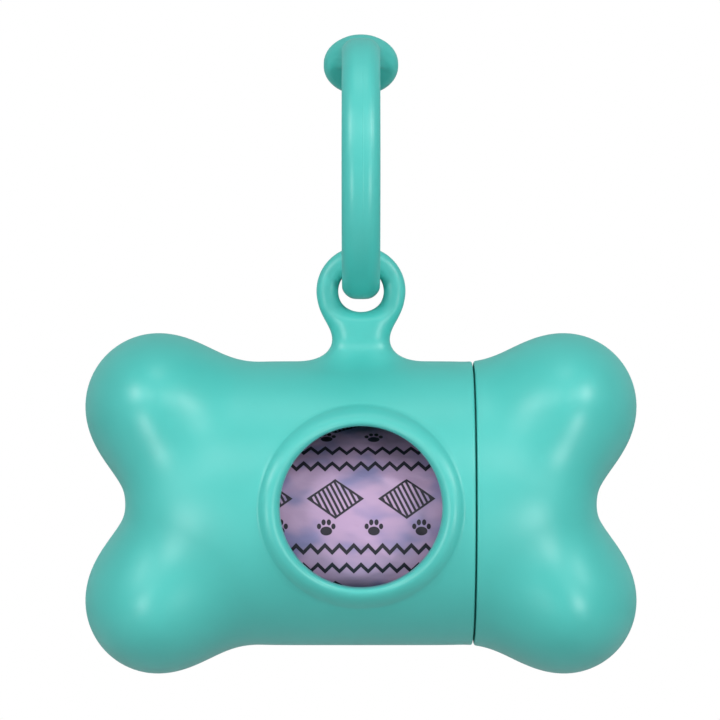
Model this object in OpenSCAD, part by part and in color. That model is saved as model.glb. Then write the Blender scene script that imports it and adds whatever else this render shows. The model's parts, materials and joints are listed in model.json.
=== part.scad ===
// Bone-shaped dispenser for waste bags, hanging from a rubber strap.
// A moulded shell and a push-on end cap close round a roll of bags, which are pulled out of a round window.
// X runs along the bone, the window faces -Y and +Z is up.
// The origin is the inside top of the strap's loop, where a leash or a ring bears. Millimetres.

/* [Bag roll] */
// Diameter of the roll of bags
roll_d = 33; // [26:0.5:40]
// Length of the roll
roll_l = 57; // [48:0.5:70]
// Bore of the card tube
core_bore = 13; // [9:0.5:16]
// Wall of the card tube
core_wall = 1; // [0.6:0.1:1.6]
// Clearance of the roll on the floor of the case
roll_clearance = 0.3; // [0.2:0.05:0.5]
// Clearance of the roll where the ends of the case narrow
end_clearance = 0.2; // [0.1:0.05:0.25]

/* [Bone] */
// Room beside the roll, across the cavity
side_room = 7; // [5:0.5:9]
// Room past each end of the roll
end_room = 6.1; // [6:0.1:9]
// Thickness of the moulded wall
wall = 3.2; // [2.6:0.1:3.8]
// Depth of the notch between the two lobes of an end
notch_depth = 7.2; // [5:0.1:9]
// Height of the lobes above the round middle
lobe_rise = 4.6; // [2:0.1:6]
// Radius of a lobe, seen from the front
lobe_r = 11.9; // [10:0.1:14]
// Half depth of a lobe, along Y
lobe_depth = 20; // [17:0.5:24]
// Length at each end of the roll over which the middle narrows
taper_l = 22.5; // [18:0.5:24]
// Width of the blend of the lobes with the middle
blend = 6.4; // [3:0.2:7.6]
// Width of the blend of the two lobes with each other
lobe_blend = 5.44; // [3:0.2:6.6]

/* [Window] */
// Diameter of the window
window_d = 25.6; // [21:0.2:31]
// Width of the raised rim
rim_w = 3.6; // [2:0.1:4.4]
// Height of the rim above the round middle
rim_h = 1.3; // [0.6:0.1:2]

/* [Cap] */
// Width of plain wall between the rim and the seam
rim_land = 2.1; // [1.5:0.1:4]
// Open gap at the seam
seam_gap = 0.3; // [0.2:0.05:0.5]
// Distance of the neck's tip from the edge of the window
neck_setback = 0.9; // [0.7:0.1:1.5]
// Wall of the neck
neck_wall = 1.5; // [1.2:0.1:1.8]
// Radial clearance of the neck in the mouth
neck_clearance = 0.08; // [0.05:0.01:0.1]
// Distance of the holding bead from the neck's tip
bead_setback = 1.7; // [1.4:0.1:2]
// Height of the holding bead on the neck
bead_h = 0.06; // [0.02:0.01:0.06]

/* [Hanging eye] */
// Play of the strap in the hole of the eye
eye_play = 1.2; // [0.9:0.1:3]
// Radial width of the eye's ring
eye_ring_w = 3.55; // [2.9:0.05:4.5]
// Depth of the eye and its stem, along Y
eye_depth = 6.2; // [4:0.1:8]
// Rounding of the ring's edges
eye_round = 1.4; // [0.5:0.1:1.4]
// Height of the stem below the ring
stem_h = 4.2; // [3:0.1:8]
// Width of the stem at its narrowest
stem_w = 8.8; // [6:0.1:12]
// Radius of the stem's flare into the shell
stem_flare = 3.6; // [1.5:0.1:5]

/* [Strap] */
// Outside diameter of the strap's loop
loop_d = 42.7; // [35:0.5:56]
// Width of the strap
strap_w = 6.2; // [5:0.1:7.6]
// Thickness of the strap
strap_t = 4.45; // [4.2:0.05:5.4]
// Rounding of the strap's edges
strap_round = 2; // [0.8:0.1:2]
// Clearance between the strap and the top of the eye's hole
strap_clearance = 0.15; // [0.1:0.05:0.4]
// Width by which the eyelet disc stands out on each side of the strap
eyelet_flare = 3.1; // [2.4:0.1:4.5]
// Thickness of the eyelet disc
eyelet_t = 3.6; // [3.2:0.1:4.4]
// Rounding of the eyelet disc's edge
eyelet_round = 1.5; // [0.5:0.1:1.5]
// Distance of the eyelet disc outwards from the middle of the strap
eyelet_lift = 0.8; // [0.4:0.1:1.2]
// Angle of the eyelet, backwards from the top of the loop
eyelet_angle = 35; // [20:1:45]
// Diameter of the knob's stem
knob_stem_d = 4.4; // [3:0.1:5]
// Diameter of the knob's head
knob_d = 7.6; // [6.6:0.1:9]
// Height of the knob's head
knob_h = 2.4; // [1.6:0.1:3]
// Height of the straight rim of the knob's head
knob_rim_h = 0.6; // [0.3:0.1:1]
// Clearance of the knob and the strap's tail from the eyelet
knob_clearance = 0.3; // [0.2:0.05:0.5]

/* [Hidden] */

round_fn = 96; // facets of a full circle
corner_step = 15; // degrees between the points of a rounded corner
quarter_steps = 15; // points of the bone's rings in each quarter
fan_steps = 13; // rings in the fan that closes an end
halvings = 17; // steps in the search for the bone's surface
lap = 1; // length by which joined forms run into each other, and cuts run past a face
eps = 0.01;

shell_color = [0.29, 0.75, 0.69];
film_color = [0.80, 0.70, 0.86];
card_color = [0.72, 0.58, 0.42];

// The bone is sized round the roll.
cavity_r = (roll_d + side_room) / 2;
waist_r = cavity_r + wall;
core_end = roll_l / 2 + end_room + wall;
core_start = roll_l / 2 - taper_l;
bone_l = 2 * (core_end + notch_depth);
lobe_x = bone_l / 2 - lobe_r;
lobe_z = waist_r + lobe_rise - lobe_r;

// Places along X, from the window to the cap.
window_r = window_d / 2;
rim_r = window_r + rim_w;
seam_x = rim_r + rim_land;
neck_start = window_r + neck_setback;
bead_x = neck_start + bead_setback;
cap_x = seam_x + seam_gap;
mouth_r = cavity_r + neck_wall + neck_clearance;
shell_fan_x = -12;
cap_fan_x = seam_x + 5.5;
shell_rings = 5;
cap_rings = 2;

// The eye takes the strap across its corners.
strap_corner = [strap_w / 2 - strap_round, strap_t / 2 - strap_round];
eye_hole_r = norm(strap_corner) + strap_round + eye_play / 2;
eye_r = eye_hole_r + eye_ring_w;
eye_rise = waist_r + stem_h + eye_r;

// Places along Z, from the inside top of the loop down.
loop_r = loop_d / 2;
loop_mid_r = loop_r - strap_t / 2;
loop_z = strap_t - loop_r;
strap_rise = strap_round + sqrt((eye_hole_r - strap_clearance - strap_round) ^ 2 - strap_corner.x ^ 2);
eye_z = loop_z - (loop_r - strap_t) - strap_rise;
body_z = eye_z - eye_rise;
roll_z = body_z - (cavity_r - roll_d / 2 - roll_clearance);

// The tail bends inwards from the loop, so that it passes under the eyelet.
eyelet_d = strap_w + 2 * eyelet_flare;
loop_end = eyelet_angle - 8;
tail_from = 150;
tail_lap = 3;
tail_end = eyelet_angle - 12;
tail_slim = 0.05;
eyelet_r = loop_mid_r + eyelet_lift;
tail_r_at_knob = eyelet_r - eyelet_t / 2 - knob_clearance - strap_t / 2;
tail_shift = (loop_mid_r - tail_r_at_knob) / (1 - cos(tail_from - eyelet_angle));
tail_r = loop_mid_r - tail_shift;

// Lesser of a and b, rounded over a band of width k where they are nearly equal.
function smooth_min(a, b, k) =
    let (h = max(k - abs(a - b), 0) / k)
    min(a, b) - h * h * k / 4;

// Below 0 inside the middle form: a round bar whose ends are closed by a blunt curve. t is an inset.
function core_field(p, t) =
    let (
        r = waist_r - t,
        u = max(abs(p.x) - core_start, 0) / (core_end - t - core_start),
        v = norm([p.y, p.z]) / r
    )
    ((u ^ 4 + v ^ 4) ^ 0.25 - 1) * r;

// Below 0 inside one lobe, an ellipsoid that is deeper than it is high.
function lobe_field(p, t, side) =
    let (r = lobe_r - t)
    (norm([(abs(p.x) - lobe_x) / r, p.y / (lobe_depth - t), (p.z - side * lobe_z) / r]) - 1) * r;

// Below 0 inside the whole bone, the lobes blended with each other and with the middle.
function bone_field(p, t) =
    smooth_min(smooth_min(lobe_field(p, t, 1), lobe_field(p, t, -1), lobe_blend), core_field(p, t), blend);

// Distance from o along d at which the bone's surface is met, by halving.
function reach(o, d, t, low = 0, high = bone_l, n = halvings) =
    let (m = (low + high) / 2)
    n == 0 ? m
    : bone_field(o + m * d, t) < 0 ? reach(o, d, t, m, high, n - 1)
    : reach(o, d, t, low, m, n - 1);

// Direction at angle turn round the X axis, leaning by lean towards the end of the bone.
function aim(end, lean, turn) =
    [end * sin(lean), cos(lean) * sin(turn), cos(lean) * cos(turn)];

// One end of the bone as a closed form: flat at x = from, rings square to X as far as x = fan, then a fan.
// end is -1 for the left and 1 for the right, and t is the inset.
module bone_end(end, from, fan, square_rings, t) {
    n = 4 * quarter_steps;
    rings = concat(
        [for (i = [0 : square_rings - 1]) [from + (fan - from) * i / square_rings, 0]],
        [for (i = [0 : fan_steps - 1]) [fan, 90 * i / fan_steps]]
    );
    reaches = [for (r = rings) [for (i = [0 : quarter_steps])
        reach([r[0], 0, 0], aim(end, r[1], 90 * i / quarter_steps), t)]];
    pole = [fan + end * reach([fan, 0, 0], [end, 0, 0], t), 0, 0];
    points = concat(
        [for (j = [0 : len(rings) - 1]) for (k = [0 : n - 1])
            let (m = k % (2 * quarter_steps), i = m <= quarter_steps ? m : 2 * quarter_steps - m)
            [rings[j][0], 0, 0] + reaches[j][i] * aim(end, rings[j][1], 360 * k / n)],
        [pole]
    );
    last = len(rings) - 1;
    faces = concat(
        [[for (k = [0 : n - 1]) k]],
        [for (j = [0 : last - 1]) for (k = [0 : n - 1])
            let (a = j * n + k, b = j * n + (k + 1) % n)
            each [[a, a + n, b], [b, a + n, b + n]]],
        [for (k = [0 : n - 1]) [last * n + k, len(points) - 1, last * n + (k + 1) % n]]
    );
    polyhedron(points, end > 0 ? [for (f = faces) [for (i = [len(f) - 1 : -1 : 0]) f[i]]] : faces);
}

// Outline of a rectangle w by h with rounded corners, centred at x = at.
function rounded(w, h, r, at = 0) =
    [for (q = [0 : 3]) for (a = [0 : corner_step : 90])
        let (sx = q == 0 || q == 3 ? 1 : -1, sy = q < 2 ? 1 : -1)
        [at + sx * (w / 2 - r) + r * cos(a + 90 * q), sy * (h / 2 - r) + r * sin(a + 90 * q)]];

// Round bar along X, from x = from to x = to.
module bar_x(r, from, to) {
    translate([from, 0, 0]) rotate([0, 90, 0]) cylinder(r = r, h = to - from, $fn = round_fn);
}

// Ring revolved round the X axis from an outline of [radius, x].
module ring_x(outline) {
    rotate([0, 90, 0]) rotate_extrude($fn = round_fn) polygon(outline);
}

// Outline of a low bead on a round face of radius r, as [radius, x], centred at bead_x.
function bead_outline(r, h, foot, crest) =
    [[r, bead_x - foot], [r + h, bead_x - crest], [r + h, bead_x + crest], [r, bead_x + foot]];

// Round bar along -Y that passes through the front wall and the rim.
module bar_front(r) {
    rotate([90, 0, 0]) cylinder(r = r, h = waist_r + rim_h + lap, $fn = round_fn);
}

// Room for the roll where the blunt ends of the cavity come near its corners.
module roll_pocket() {
    end_x = roll_l / 2 + end_clearance;
    translate([0, 0, roll_z - body_z]) bar_x(roll_d / 2 + end_clearance, -end_x, end_x);
}

// Raised collar round the window, which follows the round middle.
module window_rim() {
    intersection() {
        bar_front(rim_r);
        difference() {
            bar_x(waist_r + rim_h, -rim_r, rim_r);
            bar_x(waist_r - wall / 2, -rim_r - lap, rim_r + lap);
        }
    }
}

// Eye of the shell: a rounded ring on a short stem that flares into the top.
module hanging_eye() {
    translate([0, 0, eye_rise]) rotate([90, 0, 0]) rotate_extrude($fn = round_fn)
        polygon(rounded(eye_ring_w, eye_depth, eye_round, eye_hole_r + eye_ring_w / 2));
    stem_foot = waist_r - wall / 2;
    flare_x = stem_w / 2 + stem_flare;
    rotate([90, 0, 0]) translate([0, 0, -eye_depth / 2]) linear_extrude(eye_depth) difference() {
        translate([-flare_x, stem_foot]) square([2 * flare_x, eye_rise - stem_foot]);
        for (side = [-1, 1]) {
            translate([side * flare_x, waist_r + stem_flare]) circle(r = stem_flare, $fn = round_fn);
            translate([side * flare_x - stem_flare, waist_r + stem_flare])
                square([2 * stem_flare, eye_rise]);
        }
        translate([0, eye_rise]) circle(r = eye_hole_r + eye_ring_w / 2, $fn = round_fn);
    }
}

module main_shell() {
    groove_h = 2 * bead_h;
    groove_foot = 0.8;
    groove_crest = 0.4;
    color(shell_color) translate([0, 0, body_z]) difference() {
        union() {
            bone_end(-1, seam_x, shell_fan_x, shell_rings, 0);
            window_rim();
            hanging_eye();
        }
        bone_end(-1, seam_x + lap, shell_fan_x, shell_rings, wall);
        roll_pocket();
        bar_x(mouth_r, neck_start - seam_gap, seam_x + lap);
        ring_x(concat(
            [[mouth_r - lap, bead_x - groove_foot]],
            bead_outline(mouth_r, groove_h, groove_foot, groove_crest),
            [[mouth_r - lap, bead_x + groove_foot]]
        ));
        bar_front(window_r);
    }
}

module end_cap() {
    neck_r = mouth_r - neck_clearance;
    bead_foot = 0.6;
    bead_crest = 0.3;
    lead = [0.4, 0.6]; // chamfer at the neck's tip, across and along
    color(shell_color) translate([0, 0, body_z]) difference() {
        union() {
            bone_end(1, cap_x, cap_fan_x, cap_rings, 0);
            ring_x(concat(
                [[cavity_r - lap, neck_start]],
                [[neck_r - lead.x, neck_start], [neck_r, neck_start + lead.y]],
                bead_outline(neck_r, bead_h, bead_foot, bead_crest),
                [[neck_r, cap_x + lap], [cavity_r - lap, cap_x + lap]]
            ));
        }
        bar_x(cavity_r, neck_start - lap, cap_x + eps);
        bone_end(1, cap_x, cap_fan_x, cap_rings, wall);
        roll_pocket();
    }
}

// Point of the YZ plane at angle a from +Z towards +Y.
function round_point(a, r) = [0, r * sin(a), r * cos(a)];

// Stretch of strap bent to mid radius r about the X axis, from angle a0 to a1, slimmer all round by slim.
module strap_arc(r, a0, a1, slim = 0) {
    rotate([0, -90, 0]) rotate([0, 0, a0]) rotate_extrude(angle = a1 - a0, $fn = round_fn)
        polygon(rounded(strap_t - 2 * slim, strap_w - 2 * slim, strap_round - slim, r));
}

// Turns what stands on the Z axis round to the eyelet.
module at_eyelet() {
    rotate([-eyelet_angle, 0, 0]) children();
}

// Rubber loop whose flared end is an eyelet and whose tail carries a knob that is pushed through it.
module carry_strap() {
    knob_foot = eyelet_r + eyelet_t / 2 + knob_clearance;
    color(shell_color) translate([0, 0, loop_z]) {
        difference() {
            union() {
                strap_arc(loop_mid_r, tail_from - 360, loop_end);
                at_eyelet() translate([0, 0, eyelet_r]) rotate_extrude($fn = round_fn) intersection() {
                    polygon(rounded(eyelet_d, eyelet_t, eyelet_round));
                    translate([0, -eyelet_t]) square([eyelet_d, 2 * eyelet_t]);
                }
            }
            at_eyelet() translate([0, 0, tail_r_at_knob])
                cylinder(d = knob_stem_d + 2 * knob_clearance, h = loop_r, $fn = round_fn);
        }
        translate(round_point(tail_from, tail_shift))
            strap_arc(tail_r, tail_end, tail_from + tail_lap, tail_slim);
        at_eyelet() rotate_extrude($fn = round_fn) polygon(concat(
            [[0, tail_r_at_knob], [knob_stem_d / 2, tail_r_at_knob], [knob_stem_d / 2, knob_foot]],
            [for (a = [0 : corner_step : 90])
                [knob_d / 2 * cos(a), knob_foot + knob_rim_h + (knob_h - knob_rim_h) * sin(a)]]
        ));
    }
}

// Ring along X, centred on the middle of the cavity's length, for the tube and the film.
module roll_ring(r_out, r_in) {
    translate([0, 0, roll_z]) difference() {
        bar_x(r_out, -roll_l / 2, roll_l / 2);
        bar_x(r_in, -roll_l / 2 - lap, roll_l / 2 + lap);
    }
}

module roll_core() {
    color(card_color) roll_ring(core_bore / 2 + core_wall, core_bore / 2);
}

module bag_roll() {
    color(film_color) roll_ring(roll_d / 2, core_bore / 2 + core_wall);
}

main_shell();
end_cap();
carry_strap();
roll_core();
bag_roll();
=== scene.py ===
import json
import math

import bmesh
import bpy
import numpy as np
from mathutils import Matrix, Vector


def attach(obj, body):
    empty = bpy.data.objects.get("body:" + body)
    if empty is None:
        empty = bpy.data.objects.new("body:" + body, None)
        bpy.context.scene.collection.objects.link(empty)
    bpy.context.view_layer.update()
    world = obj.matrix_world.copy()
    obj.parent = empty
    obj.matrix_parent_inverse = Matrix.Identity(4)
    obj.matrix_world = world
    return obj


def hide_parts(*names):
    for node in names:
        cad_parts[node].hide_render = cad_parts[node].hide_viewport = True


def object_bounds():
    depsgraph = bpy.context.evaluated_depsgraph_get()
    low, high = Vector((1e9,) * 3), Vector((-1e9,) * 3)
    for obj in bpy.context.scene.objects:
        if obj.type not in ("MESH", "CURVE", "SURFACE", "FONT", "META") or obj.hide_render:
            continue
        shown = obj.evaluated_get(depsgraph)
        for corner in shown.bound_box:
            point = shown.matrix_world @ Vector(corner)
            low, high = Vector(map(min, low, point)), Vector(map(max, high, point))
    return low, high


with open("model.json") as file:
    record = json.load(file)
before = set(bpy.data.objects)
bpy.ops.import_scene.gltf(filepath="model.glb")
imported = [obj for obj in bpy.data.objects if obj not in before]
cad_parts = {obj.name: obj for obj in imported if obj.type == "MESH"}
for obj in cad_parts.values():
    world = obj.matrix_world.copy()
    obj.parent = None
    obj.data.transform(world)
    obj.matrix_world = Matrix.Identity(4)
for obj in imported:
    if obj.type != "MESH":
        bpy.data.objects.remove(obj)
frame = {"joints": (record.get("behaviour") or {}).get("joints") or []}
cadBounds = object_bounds()
print("frame loaded")

# Everything is worked out in millimetres, and turned into metres where a mesh is made.
# The bone is worked out round its own middle, and bonePlace carries it into the frame.

mm = 0.001
jointPlace = {j["name"]: np.array(j.get("pos_m", (0, 0, 0))) / mm for j in frame["joints"]}

bone = {
    "cavityR": 20.0,
    "wall": 3.2,
    "coreStart": 6.0,       # the middle is a plain round bar up to here
    "coreEnd": 37.8,        # depth of the notch at each end
    "lobeX": 33.1,
    "lobeZ": 15.9,
    "lobeR": 11.9,
    "lobeDepth": 20.0,
    "lobeBlend": 5.44,
    "coreBlend": 6.4,
    "rollDrop": 3.2,        # how far the roll's axis lies below the bone's
}
waistR = bone["cavityR"] + bone["wall"]
bonePlace = np.array((0, 0, jointPlace["roll_spin"][2] + bone["rollDrop"]))


# Lesser of two values, rounded over a band of the given width where they are nearly equal.
def smoothMin(a, b, width):
    near = np.maximum(width - np.abs(a - b), 0) / width
    return np.minimum(a, b) - near * near * width / 4


# Below 0 inside the bone: a round bar with blunt superellipse ends, blended with two deep ellipsoids an end.
def boneField(p, inset=0.0):
    x, y, z = np.abs(p[..., 0]), p[..., 1], p[..., 2]
    r = waistR - inset
    u = np.maximum(x - bone["coreStart"], 0) / (bone["coreEnd"] - inset - bone["coreStart"])
    v = np.hypot(y, z) / r
    core = ((u**4 + v**4) ** 0.25 - 1) * r
    lobeR = bone["lobeR"] - inset
    across, deep = (x - bone["lobeX"]) / lobeR, y / (bone["lobeDepth"] - inset)
    lobes = []
    for side in (1, -1):
        up = (z - side * bone["lobeZ"]) / lobeR
        lobes.append((np.sqrt(across**2 + deep**2 + up**2) - 1) * lobeR)
    return smoothMin(smoothMin(*lobes, bone["lobeBlend"]), core, bone["coreBlend"])


# Signed distance to a box of half sizes a by b with corners of radius r, in a plane.
def boxDistance(u, v, a, b, r):
    du, dv = np.abs(u) - (a - r), np.abs(v) - (b - r)
    return np.hypot(np.maximum(du, 0), np.maximum(dv, 0)) + np.minimum(np.maximum(du, dv), 0) - r


# Distance along each ray at which the field turns positive, found by halving.
def reachOf(field, origin, direction, far):
    low, high = np.zeros(direction.shape[:-1]), np.full(direction.shape[:-1], float(far))
    for _ in range(34):
        middle = (low + high) / 2
        inside = field(origin + middle[..., None] * direction) < 0
        low, high = np.where(inside, middle, low), np.where(inside, high, middle)
    return low


# Moves points along the field's slope until they lie on the surface where it is 0.
def ontoSurface(p, field, rounds=8, step=0.01):
    for _ in range(rounds):
        slope = np.stack([
            field(p + step * axis) - field(p - step * axis) for axis in np.eye(3)
        ], -1) / (2 * step)
        p = p - (field(p) / np.maximum((slope**2).sum(-1), 0.2))[..., None] * slope
    return p


# Points x along the X axis and r out from it, where turn 0 is straight up and a quarter turn is to the front.
def aroundX(x, r, turn):
    return np.stack(np.broadcast_arrays(x, -r * np.sin(turn), r * np.cos(turn)), -1)


# Skin of the bone on a grid: each row leaves (rowX, 0, 0) leaning by rowLean towards the end, and each column
# by its turn round X.
def skinGrid(end, rowX, rowLean, turn, inset):
    lean = np.asarray(rowLean)[:, None]
    direction = aroundX(end * np.sin(lean), np.cos(lean), turn)
    origin = np.asarray(rowX)[:, None, None] * np.array((1.0, 0, 0))
    reach = reachOf(lambda p: boneField(p, inset), origin, direction, 60)
    return origin + reach[..., None] * direction


# Faces of a grid of indices, each from four neighbours, leaving out where keep is false.
def gridFaces(index, keep=None):
    quads = np.stack([index[:-1, :-1], index[1:, :-1], index[1:, 1:], index[:-1, 1:]], -1)
    return quads.reshape(-1, 4) if keep is None else quads[keep]


weldNear = 1e-4             # mm within which two points are one


# Collects grids of points that run once round and share their edges, and welds them into one mesh.
class Patchwork:
    def __init__(self):
        self.points, self.faces, self.count = [], [], 0

    def add(self, grid, keep=None):
        rows, columns = grid.shape[:2]
        index = np.arange(rows * columns).reshape(rows, columns) + self.count
        index = np.hstack([index, index[:, :1]])
        self.points.append(grid.reshape(-1, 3))
        self.faces.append(gridFaces(index, keep))
        self.count += rows * columns

    # Welds the points, or others given in their place, and notes which of them are kept.
    def weld(self, points=None):
        points = np.vstack(self.points) if points is None else points
        faces = np.vstack(self.faces)
        used = np.zeros(len(points), bool)
        used[faces] = True
        keys = np.round(points / weldNear).astype(np.int64)
        keys[~used] = keys[used][0]
        _, self.kept, inverse = np.unique(keys, axis=0, return_index=True, return_inverse=True)
        return points[self.kept], inverse.reshape(-1)[faces]


evenShare = 0.6             # of the way to the mean of its neighbours that a free point goes in one round


# Evens out points where freedom is above 0, each towards the mean of its neighbours, kept on the surface.
def relax(points, faces, freedom, field, rounds):
    pairs = np.vstack([faces[:, [0, 1]], faces[:, [1, 2]], faces[:, [2, 3]], faces[:, [3, 0]]])
    pairs = np.unique(np.sort(pairs, 1), axis=0)
    pairs = pairs[pairs[:, 0] != pairs[:, 1]]
    a, b = np.concatenate([pairs[:, 0], pairs[:, 1]]), np.concatenate([pairs[:, 1], pairs[:, 0]])
    busy = freedom[a] > 0
    a, b = a[busy], b[busy]
    degree = np.maximum(np.bincount(a, minlength=len(points)), 1)[:, None]
    moving = freedom > 0
    for _ in range(rounds):
        mean = np.stack([np.bincount(a, points[b, k], len(points)) for k in range(3)], -1) / degree
        points = np.where(moving[:, None], points + evenShare * freedom[:, None] * (mean - points), points)
        points[moving] = ontoSurface(points[moving], field, 1)
    points[moving] = ontoSurface(points[moving], field, 6)
    return points


# Indices of the edge of a block of a grid, once round, from its first row and column.
def blockEdge(rows, columns):
    (i0, i1), (j0, j1) = rows, columns
    i, j = np.arange(i0, i1), np.arange(j0, j1)
    return (
        np.concatenate([np.full(len(j), i0), i, np.full(len(j), i1), i[::-1] + 1]),
        np.concatenate([j, np.full(len(i), j1), j[::-1] + 1, np.full(len(i), j0)]),
    )


# Block in the middle of a grid, given how many faces the grid and the block have each way.
def middleBlock(shape, across):
    starts = [(whole - part) // 2 for whole, part in zip(shape, across)]
    return tuple((start, start + part) for start, part in zip(starts, across))


# True for each face of a grid, and False inside the blocks.
def facesOutside(shape, *blocks):
    keep = np.ones(shape, bool)
    for (i0, i1), (j0, j1) in blocks:
        keep[i0:i1, j0:j1] = False
    return keep


def newObject(name, data):
    made = bpy.data.objects.new(name, data)
    bpy.context.scene.collection.objects.link(made)
    return made


# Makes a mesh from points in millimetres, faces it outwards, and puts it on its body for its CAD nodes.
def addPiece(name, points, faces, body, slot, material, nodes, place=(0, 0, 0)):
    mesh = bpy.data.meshes.new(name)
    # Where corners of a face were welded into one, it becomes a triangle or goes.
    corners = [[v for k, v in enumerate(f) if v != f[k - 1]] for f in faces.tolist()]
    mesh.from_pydata((points + np.array(place)) * mm, [], [f for f in corners if len(f) > 2])
    turned = bmesh.new()
    turned.from_mesh(mesh)
    bmesh.ops.recalc_face_normals(turned, faces=turned.faces)
    turned.to_mesh(mesh)
    turned.free()
    mesh.polygons.foreach_set("use_smooth", np.ones(len(mesh.polygons), bool))
    mesh.validate()
    mesh.update()
    mesh.materials.append(material)
    piece = newObject(name, mesh)
    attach(piece, body)
    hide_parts(*nodes)
    print(name, len(mesh.vertices), "points")


# Evenly spaced angles, given in degrees and returned in radians.
def degrees(start, stop, count):
    return np.radians(np.linspace(start, stop, count))


# A short way to write a node tree: each call adds a node and returns its output.
class Sheet:
    def __init__(self, tree):
        self.tree = tree

    # Gives each socket a plain value or another node's output.
    def fill(self, sockets, values):
        for key, value in values.items():
            if isinstance(value, bpy.types.NodeSocket):
                self.tree.links.new(value, sockets[key])
            else:
                sockets[key].default_value = value

    def node(self, kind, values, **settings):
        node = self.tree.nodes.new(kind)
        for key, value in settings.items():
            setattr(node, key, value)
        self.fill(node.inputs, values)
        return node

    def split(self, vector):
        return self.node("ShaderNodeSeparateXYZ", {0: vector}).outputs

    def stretch(self, vector, scale):
        return self.node("ShaderNodeMapping", {"Vector": vector, "Scale": scale}).outputs[0]

    def group(self, group, values):
        return self.node("ShaderNodeGroup", values, node_tree=group).outputs

    def math(self, operation, a, b=0.0, c=0.0):
        return self.node("ShaderNodeMath", {0: a, 1: b, 2: c}, operation=operation).outputs[0]

    def ramp(self, value, low, high, toLow=0.0, toHigh=1.0):
        values = {0: value, 1: low, 2: high, 3: toLow, 4: toHigh}
        return self.node("ShaderNodeMapRange", values, interpolation_type="SMOOTHSTEP").outputs[0]

    def noise(self, vector, scale, detail=3.0, roughness=0.5):
        values = {"Vector": vector, "Scale": scale, "Detail": detail, "Roughness": roughness}
        return self.node("ShaderNodeTexNoise", values).outputs[0]

    def mixColour(self, share, a, b):
        a, b = ((*colour, 1) if isinstance(colour, tuple) else colour for colour in (a, b))
        return self.node("ShaderNodeMix", {0: share, 6: a, 7: b}, data_type="RGBA").outputs[2]

    def bump(self, height, depth, strength=1.0):
        values = {"Height": height, "Distance": depth, "Strength": strength}
        return self.node("ShaderNodeBump", values).outputs[0]


# An empty node group with named sockets, its sheet, and the two ends that its nodes are joined to.
def newGroup(name, inputs, outputs):
    group = bpy.data.node_groups.new(name, "ShaderNodeTree")
    for socket, kind, value in inputs:
        made = group.interface.new_socket(socket, in_out="INPUT", socket_type=kind)
        if value is not None:
            made.default_value = value
    for socket, kind in outputs:
        group.interface.new_socket(socket, in_out="OUTPUT", socket_type=kind)
    given, out = group.nodes.new("NodeGroupInput"), group.nodes.new("NodeGroupOutput")
    return group, Sheet(group), given.outputs, out.inputs


# A new material, its sheet, its shader, and the place on the piece that its patterns read.
def newMaterial(name):
    material = bpy.data.materials.new(name)
    material.use_nodes = True
    sheet = Sheet(material.node_tree)
    shader = material.node_tree.nodes["Principled BSDF"]
    place = sheet.node("ShaderNodeTexCoord", {}).outputs["Object"]
    return material, sheet, shader, place


# Fine grain and slow mottling of a surface: grain is noise at two sizes, and shade drifts slowly round 1.
def makeGrainGroup():
    inputs = [
        ("Vector", "NodeSocketVector", None),
        ("Size", "NodeSocketFloat", 0.0003),
        ("Drift", "NodeSocketFloat", 0.1),
    ]
    outputs = [("Grain", "NodeSocketFloat"), ("Shade", "NodeSocketFloat")]
    group, sheet, given, out = newGroup("mouldedGrain", inputs, outputs)
    scale = sheet.math("DIVIDE", 1.0, given["Size"])
    fine = sheet.noise(given["Vector"], scale, 4.0, 0.6)
    slow = sheet.noise(given["Vector"], 45.0, 3.0, 0.5)
    speck = sheet.noise(given["Vector"], sheet.math("MULTIPLY", scale, 0.35), 2.0, 0.5)
    both = sheet.math("ADD", sheet.math("MULTIPLY", fine, 0.6), sheet.math("MULTIPLY", speck, 0.4))
    offset = sheet.math("MULTIPLY", sheet.math("SUBTRACT", slow, 0.5), given["Drift"])
    sheet.fill(out, {"Grain": both, "Shade": sheet.math("ADD", 1.0, offset)})
    return group


silicone = {
    "colour": (0.068, 0.492, 0.449),
    "deepColour": (0.058, 0.458, 0.416),
    "roughness": 0.40,
    "specular": 0.78,
    "roughDrift": 0.04,
    "ior": 1.43,
    "subsurface": 0.12,
    "subsurfaceRadius": (0.4, 1.0, 0.9),
    "subsurfaceDepth": 0.0012,      # this and the two below in metres
    "grainSize": 0.00032,
    "grainDepth": 0.000010,
    "shadeDrift": 0.5,
    "shadeBand": (0.85, 1.15),      # shades between which the colour turns, and then the roughness
    "roughBand": (0.8, 1.2),
    "strapLines": [(0.35, 0.12, 1.6), (1.95, 0.10, -1.0)],  # faint mould lines: place across, width, height
}


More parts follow.
